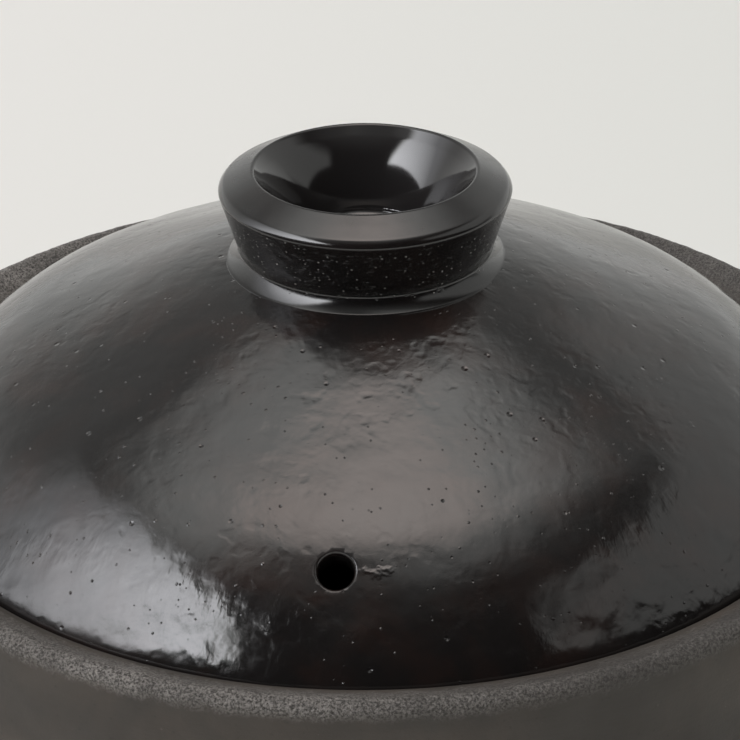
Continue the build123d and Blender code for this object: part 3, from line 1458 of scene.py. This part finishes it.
    def _is_glazed(self, at: Vector, throat: float) -> int:
        """Sort a face into the glazed cooking space or the clay outside.

        Args:
            at: the face's centre.
            throat: the height of the inner ledge.

        Returns:
            1 for the glaze and 0 for the clay.
        """
        if at.z < self.floor_thickness - MM or at.z > throat:
            return 0
        wall = self.high.x - self.wall_thickness / 2
        rise = share_of((at.z - self.floor_thickness) / (40 * MM))
        limit = self.floor_radius + 7 * MM + (wall - self.floor_radius - 7 * MM) * math.sqrt(rise)
        return int(math.hypot(at.x, at.y) < limit)


@dataclass
class Ear:
    """One clay lug on the pot's side."""

    side: int
    projection: float = 14.0 * MM
    root: float = 5.5 * MM
    width: float = 66.0 * MM
    thickness: float = 15.0 * MM
    edge_round: float = 6.0 * MM
    drop: float = 20.0 * MM
    droop: float = 8.0
    skin: float = 0.3 * MM
    crumb: float = 0.8 * MM
    sponging: int = 6
    segments: int = 144
    round_steps: int = 8
    dents: Dents = Dents(12 * MM, 0.5 * MM, 0.9, 2)

    def build(self, clay: bpy.types.Material) -> bpy.types.Object:
        """Shape the lug from a flat round cake of clay.

        Args:
            clay: the bare clay.

        Returns:
            The ear.
        """
        name = "ear_right" if self.side > 0 else "ear_left"
        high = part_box("pot_body")[1]
        reach = self.projection + self.root
        Shop.clear_selection()
        cake = {"vertices": self.segments, "radius": 1.0, "depth": self.thickness}
        bpy.ops.mesh.primitive_cylinder_add(**cake, end_fill_type="NGON")
        ear = bpy.context.object
        ear.name = ear.data.name = f"{name}_lug"
        ear.scale = (reach - self.skin, self.width / 2 - self.skin, 1.0)
        bpy.ops.object.transform_apply(location=False, rotation=False, scale=True)
        bpy.ops.object.mode_set(mode="EDIT")
        bpy.ops.mesh.select_all(action="DESELECT")
        bpy.ops.object.mode_set(mode="OBJECT")
        for edge in ear.data.edges:
            first, second = (ear.data.vertices[n].co for n in edge.vertices)
            edge.select = abs(first.z - second.z) < MM
        bpy.ops.object.mode_set(mode="EDIT")
        bpy.ops.mesh.select_mode(type="EDGE")
        rounded = {"offset": self.edge_round, "segments": self.round_steps}
        bpy.ops.mesh.bevel(**rounded, affect="EDGES", clamp_overlap=False)
        bpy.ops.object.mode_set(mode="OBJECT")
        modifier = ear.modifiers.new("knead", "REMESH")
        modifier.mode = "VOXEL"
        modifier.voxel_size = self.crumb
        bpy.ops.object.modifier_apply(modifier=modifier.name)
        relax = ear.modifiers.new("sponge", "SMOOTH")
        relax.iterations = self.sponging
        bpy.ops.object.modifier_apply(modifier=relax.name)
        turn = Matrix.Rotation(math.radians(self.side * self.droop), 4, "Y")
        centre = (self.side * (high.x - self.root), 0, high.z - self.drop)
        Shop.settle(ear, Matrix.Translation(centre) @ turn)
        Shop.press(ear, self.dents)
        Shop.smooth(ear, 80.0)
        Shop.dress(ear, [clay])
        Shop.deliver(ear, Body.POT, Slot.CLAY, name)
        return ear


@dataclass
class InnerLid:
    """The flat lid inside, with its button and two steam holes."""

    rim_thickness: float = 6.0 * MM
    edge_round: float = 2.5 * MM
    hollow: float = 4.5 * MM
    seat_width: float = 9.0 * MM
    button_foot: float = 13.0 * MM
    button_neck: float = 10.0 * MM
    button_neck_height: float = 8.0 * MM
    button_rim_height: float = 4.0 * MM
    button_round: float = 1.0 * MM
    hole_radius: float = 4.5 * MM
    hole_place: float = 48.0 * MM
    hole_flare: float = 1.2 * MM
    hole_crown: float = 5.2 * MM
    hole_segments: int = 48
    button_segments: int = 160
    waves: Dents = Dents(26 * MM, 0.35 * MM, 0.9, 1)
    segments: int = 352
    step: float = 1.4 * MM
    low: Vector = field(default_factory=lambda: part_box("inner_lid")[0])
    high: Vector = field(default_factory=lambda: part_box("inner_lid")[1])

    def disc(self) -> bpy.types.Object:
        """Throw the crowned disc and punch its steam holes.

        Returns:
            The disc.
        """
        shoulder = Vector((self.high.x - self.edge_round, self.low.z + self.rim_thickness))
        side = Vector((self.high.x, shoulder.y - self.edge_round))
        hollow = self.high.x - self.seat_width
        trace = Outline(0, self.high.z, self.step)
        trace.line(self.button_foot, self.high.z)
        trace.arc(*shoulder, (1, 0))
        trace.step = self.step / 3
        trace.arc_arriving(*side, (0, -1))
        trace.corner(self.high.x, self.low.z, (hollow, self.low.z), 0.8 * MM)
        trace.step = self.step
        trace.line(hollow, self.low.z)
        trace.arc_arriving(0, self.low.z + self.hollow, (-1, 0))
        lid = Shop.throw("inner_lid_disc", trace, self.segments)
        for turn in (0.0, math.pi):
            Shop.bore(lid, self._punch(turn))
        return lid

    def _punch(self, turn: float) -> bpy.types.Object:
        """Make a round punch, flared a little at the top, for one steam hole.

        Args:
            turn: the hole's direction from the axis, in radians.

        Returns:
            The punch, in its place.
        """
        top = self.low.z + self.rim_thickness + self.hole_crown
        mouth = self.hole_radius + self.hole_flare
        trace = Outline(0, self.low.z - MM, 0.5 * MM)
        trace.line(self.hole_radius, self.low.z - MM)
        trace.line(self.hole_radius, top - 2 * MM)
        trace.arc(mouth, top, (0, 1))
        trace.line(mouth, top + 4 * MM).line(0, top + 4 * MM)
        punch = Shop.throw("inner_punch", trace, self.hole_segments)
        Shop.settle(punch, Matrix.Rotation(turn, 4, "Z") @ Matrix.Translation((self.hole_place, 0, 0)))
        return punch

    def button(self) -> bpy.types.Object:
        """Throw the button: a waisted stem under a crowned top.

        Returns:
            The button.
        """
        low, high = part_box("inner_lid_knob")
        rim = Vector((high.x, low.z + self.button_neck_height))
        shoulder = rim.y + self.button_rim_height
        waist = Vector((self.button_neck, low.z + self.button_neck_height / 2))
        trace = Outline(0, low.z, self.step / 2)
        trace.line(self.button_foot, low.z)
        trace.arc_arriving(*waist, (0, 1))
        trace.arc(*(rim - Vector((self.button_round, 0.3 * MM))), (0, 1))
        trace.arc_arriving(rim.x, rim.y + self.button_round, (0, 1))
        trace.line(high.x, shoulder - 0.8 * MM)
        trace.arc_arriving(high.x - 1.2 * MM, shoulder + 0.5 * MM, (-1, 0.45))
        trace.arc_arriving(0, high.z, (-1, 0))
        return Shop.throw("inner_lid_button", trace, self.button_segments)

    def build(self, glaze: bpy.types.Material) -> list[bpy.types.Object]:
        """Make the disc and its button.

        Args:
            glaze: the thin glaze.

        Returns:
            Both pieces.
        """
        disc, button = self.disc(), self.button()
        Shop.press(disc, self.waves, self._top(disc))
        for piece, node in ((disc, "inner_lid"), (button, "inner_lid_knob")):
            Shop.smooth(piece)
            Shop.dress(piece, [glaze])
            Shop.deliver(piece, Body.INNER_LID, Slot.INNER_GLAZE, node)
        return [disc, button]

    def _top(self, disc: bpy.types.Object) -> str:
        """The mask of the disc's top face."""
        level, wide = self.low.z + self.rim_thickness, self.high.x - 8 * MM
        return Shop.mask(disc, "top", lambda at: float(at.z > level and self._is_bare(at, wide)))

    def _is_bare(self, at: Vector, wide: float) -> bool:
        """Whether a point lies between the button's foot and the rim."""
        return self.button_foot + 2 * MM < math.hypot(at.x, at.y) < wide


@dataclass
class Studio:
    """The plain pale floor, the soft light and the camera.

    The levels are how bright each part of the tent is. Its places are parts of a unit direction.
    """

    floor_size: float = 24.0
    floor_colour: Colour = (0.82, 0.815, 0.79)
    # painted shade: the floor's colour towards the right, darker than on the left as if lit from the left
    floor_right_shade_colour: Colour = (0.742, 0.752, 0.721)
    light_level: float = 1.25
    top_level: float = 3.0
    top_edge: Point = (0.934, 0.077)
    box_level: float = 2.5
    box_fall: float = 9.0
    box_limits: Point = (1.3, 8.0)
    fill_level: float = 0.56
    glow_level: float = 1.2
    right_level: float = 0.50
    above_level: float = 0.22
    horizon_level: float = 0.80
    gap_place: float = 0.551
    gap_edge: Point = (0.155, 0.25)
    gap_depth: float = 0.92
    warm_tint: Colour = (1.0, 0.90, 0.85)
    plain_tint: Colour = (0.985, 0.99, 0.965)
    cool_tint: Colour = (0.955, 0.965, 1.0)
    camera_place: tuple[float, float, float] = (0.0, -0.5091, 0.3996)
    camera_pitch: float = 27.96
    camera_yaw: float = 0.085
    camera_roll: float = 0.37
    lens: float = 131.0
    sensor: float = 36.0

    def floor(self) -> None:
        """Lay the floor just under the pot's foot, with painted shade that darkens it towards the right.
        """
        Shop.clear_selection()
        bpy.ops.mesh.primitive_plane_add(size=self.floor_size, location=(0, 0, -0.05 * MM))
        plane = bpy.context.object
        plane.name = "floor"
        made = bpy.data.materials.new("floor")
        made.use_nodes = True
        paint = Paint(made.node_tree)
        across, _, _ = paint.parts(paint.place())
        mottle = paint.noise(paint.place(), 0.6, 2.0) * 0.15
        # painted shade: the floor darkens from left to right
        painted_shade_rightward = across.eased(-0.22, 0.22, 0.0, 0.85)
        shade = paint.blend(painted_shade_rightward + mottle, self.floor_colour, self.floor_right_shade_colour)
        inputs = {"Base Color": shade, "Roughness": 0.9}
        shader = paint.node("ShaderNodeBsdfPrincipled", {}, inputs, "BSDF")
        paint.node("ShaderNodeOutputMaterial", {}, {"Surface": shader})
        plane.data.materials.append(made)

    def sky(self) -> None:
        """Light the pot from a soft tent.

        It has a bright top, a cool box on the left, a dim patch on the right, a pale low back with a
        dark gap above it, and a pale horizon all round.
        """
        world = bpy.data.worlds.new("tent")
        bpy.context.scene.world = world
        world.use_nodes = True
        paint = Paint(world.node_tree)
        x, y, z = paint.parts(paint.node("ShaderNodeTexCoord", {}, {}, "Generated"))
        low_back = z.eased(0.17, 0.62, 0.70, 0.33) * z.eased(0.66, 0.86, 1.0, 0.0) * y.eased(0.15, 0.50)
        side = (x * 0.616 + y * 0.788).eased(-0.08, 0.06) * x.eased(0.22, 0.50)
        above_rim = (z - x * 0.3845 + y * 0.7547).eased(-0.078, -0.018)
        fill = z.within(0.26, 0.69, 0.13) * side * above_rim * self.fill_level
        glow = z.eased(0.72, 0.92) * (y - x * 0.6).eased(-0.25, 0.30) * self.glow_level
        right = z.eased(0.86, 0.93) * x.eased(-0.10, 0.25) * self.right_level
        horizon = z.eased(0.07, 0.20, self.horizon_level, 0.0)
        above = z.eased(0.70, 0.93) * self.above_level
        soft = low_back.most(fill).most(horizon) + glow + right + above
        edge, fade = self.top_edge
        notch = y.eased(0.24, 0.38) * 0.036
        top = ((z + y * 0.07 - notch - edge) / fade).most(0.0).least(1.0)
        behind = y - self.gap_place
        off_gap = (x * x + behind * behind) ** 0.5
        gap = off_gap.eased(*self.gap_edge, self.gap_depth, 0.0) * z.eased(0.5, 0.7)
        tent = (soft + (self.top_level - soft) * top) * (1.0 - gap)
        box = self.box_mask(x, y, z)
        dimmest, brightest = self.box_limits
        box_light = (self.box_level - y * self.box_fall).least(brightest).most(dimmest)
        strength = (tent * (1.0 - box) + box_light * box) * self.light_level
        warm = paint.blend(top.eased(0.0, 0.6), self.plain_tint, self.warm_tint)
        colour = paint.blend(box, warm, self.cool_tint)
        background = paint.node("ShaderNodeBackground", {}, {"Color": colour, "Strength": strength}, 0)
        paint.node("ShaderNodeOutputWorld", {}, {"Surface": background})

    def box_mask(self, x: Wire, y: Wire, z: Wire) -> Wire:
        """Where the cool box is seen: four straight edges, the top and back ones soft.

        Args:
            x: how far a direction points to the right.
            y: how far it points to the back.
            z: how far it points up.

        Returns:
            1 inside the box.
        """
        bottom = (z + x * 0.355 + y * 0.80).eased(-0.062, -0.042)
        upper = (x * -1.3745 - y * 0.120 - z).eased(-0.05, 0.11)
        front = (x * -0.911 + y * 0.247 - z * 0.333).eased(-0.010, 0.016)
        return bottom * upper * front * y.eased(0.12, 0.52, 1.0, 0.0)

    def camera(self) -> None:
        """Set the camera where the photograph was taken from."""
        seen = bpy.data.cameras.new("camera")
        seen.lens, seen.sensor_width, seen.sensor_height = self.lens, self.sensor, self.sensor
        seen.sensor_fit = "HORIZONTAL"
        seen.clip_start = 0.01
        made = bpy.data.objects.new("camera", seen)
        bpy.context.scene.collection.objects.link(made)
        pitch = Matrix.Rotation(math.radians(90.0 - self.camera_pitch), 4, "X")
        yaw = Matrix.Rotation(math.radians(-self.camera_yaw), 4, "Z")
        roll = Matrix.Rotation(math.radians(-self.camera_roll), 4, "Z")
        made.matrix_world = Matrix.Translation(self.camera_place) @ yaw @ pitch @ roll
        bpy.context.scene.camera = made

    def build(self) -> None:
        """Build the floor, the light and the camera."""
        self.floor()
        self.sky()
        self.camera()
        bpy.context.scene.view_settings.view_transform = "Standard"


def main() -> None:
    """Build the pot, its lids and the studio."""
    logging.basicConfig(level=logging.INFO, format="%(name)s %(message)s")
    pot, lid, knob, inner = Pot(), OuterLid(), LidKnob(), InnerLid()
    collar = pot.collar_foot()
    clay = BareClay(
        "bare_clay", colour=(0.049, 0.043, 0.037), tint=(0.070, 0.058, 0.048), index=1.45, roughness=0.58,
        strip_radius=collar.x + pot.strip_width, rim_level=pot.high.z,
    ).material()
    inside = SatinGlaze(
        "inside_glaze", colour=(0.022, 0.017, 0.013), tint=(0.035, 0.024, 0.016), index=1.5,
        roughness=0.24,
    ).material()
    glaze = BlackGlaze(
        "black_glaze", colour=(0.0110, 0.0098, 0.0096), tint=(0.021, 0.013, 0.011), index=1.6,
        roughness=0.12, skirt_radius=lid.shoulder().x,
    ).material()
    knob_glaze = KnobGlaze(
        "knob_glaze", colour=(0.0090, 0.0083, 0.0082), tint=(0.013, 0.0105, 0.010), index=1.6,
        roughness=0.13, fillet_level=knob.low.z + knob.fillet_height, bevel_level=knob.edge_foot().y,
        land_level=knob.high.z - knob.land_rise, crest_radius=knob.crest().x,
    ).material()
    pot.build(clay, inside)
    for side in (-1, 1):
        Ear(side).build(clay)
    inner.build(inside)
    lid.build(glaze)
    knob.build(knob_glaze)
    Studio().build()


if __name__ == "__main__":
    main()
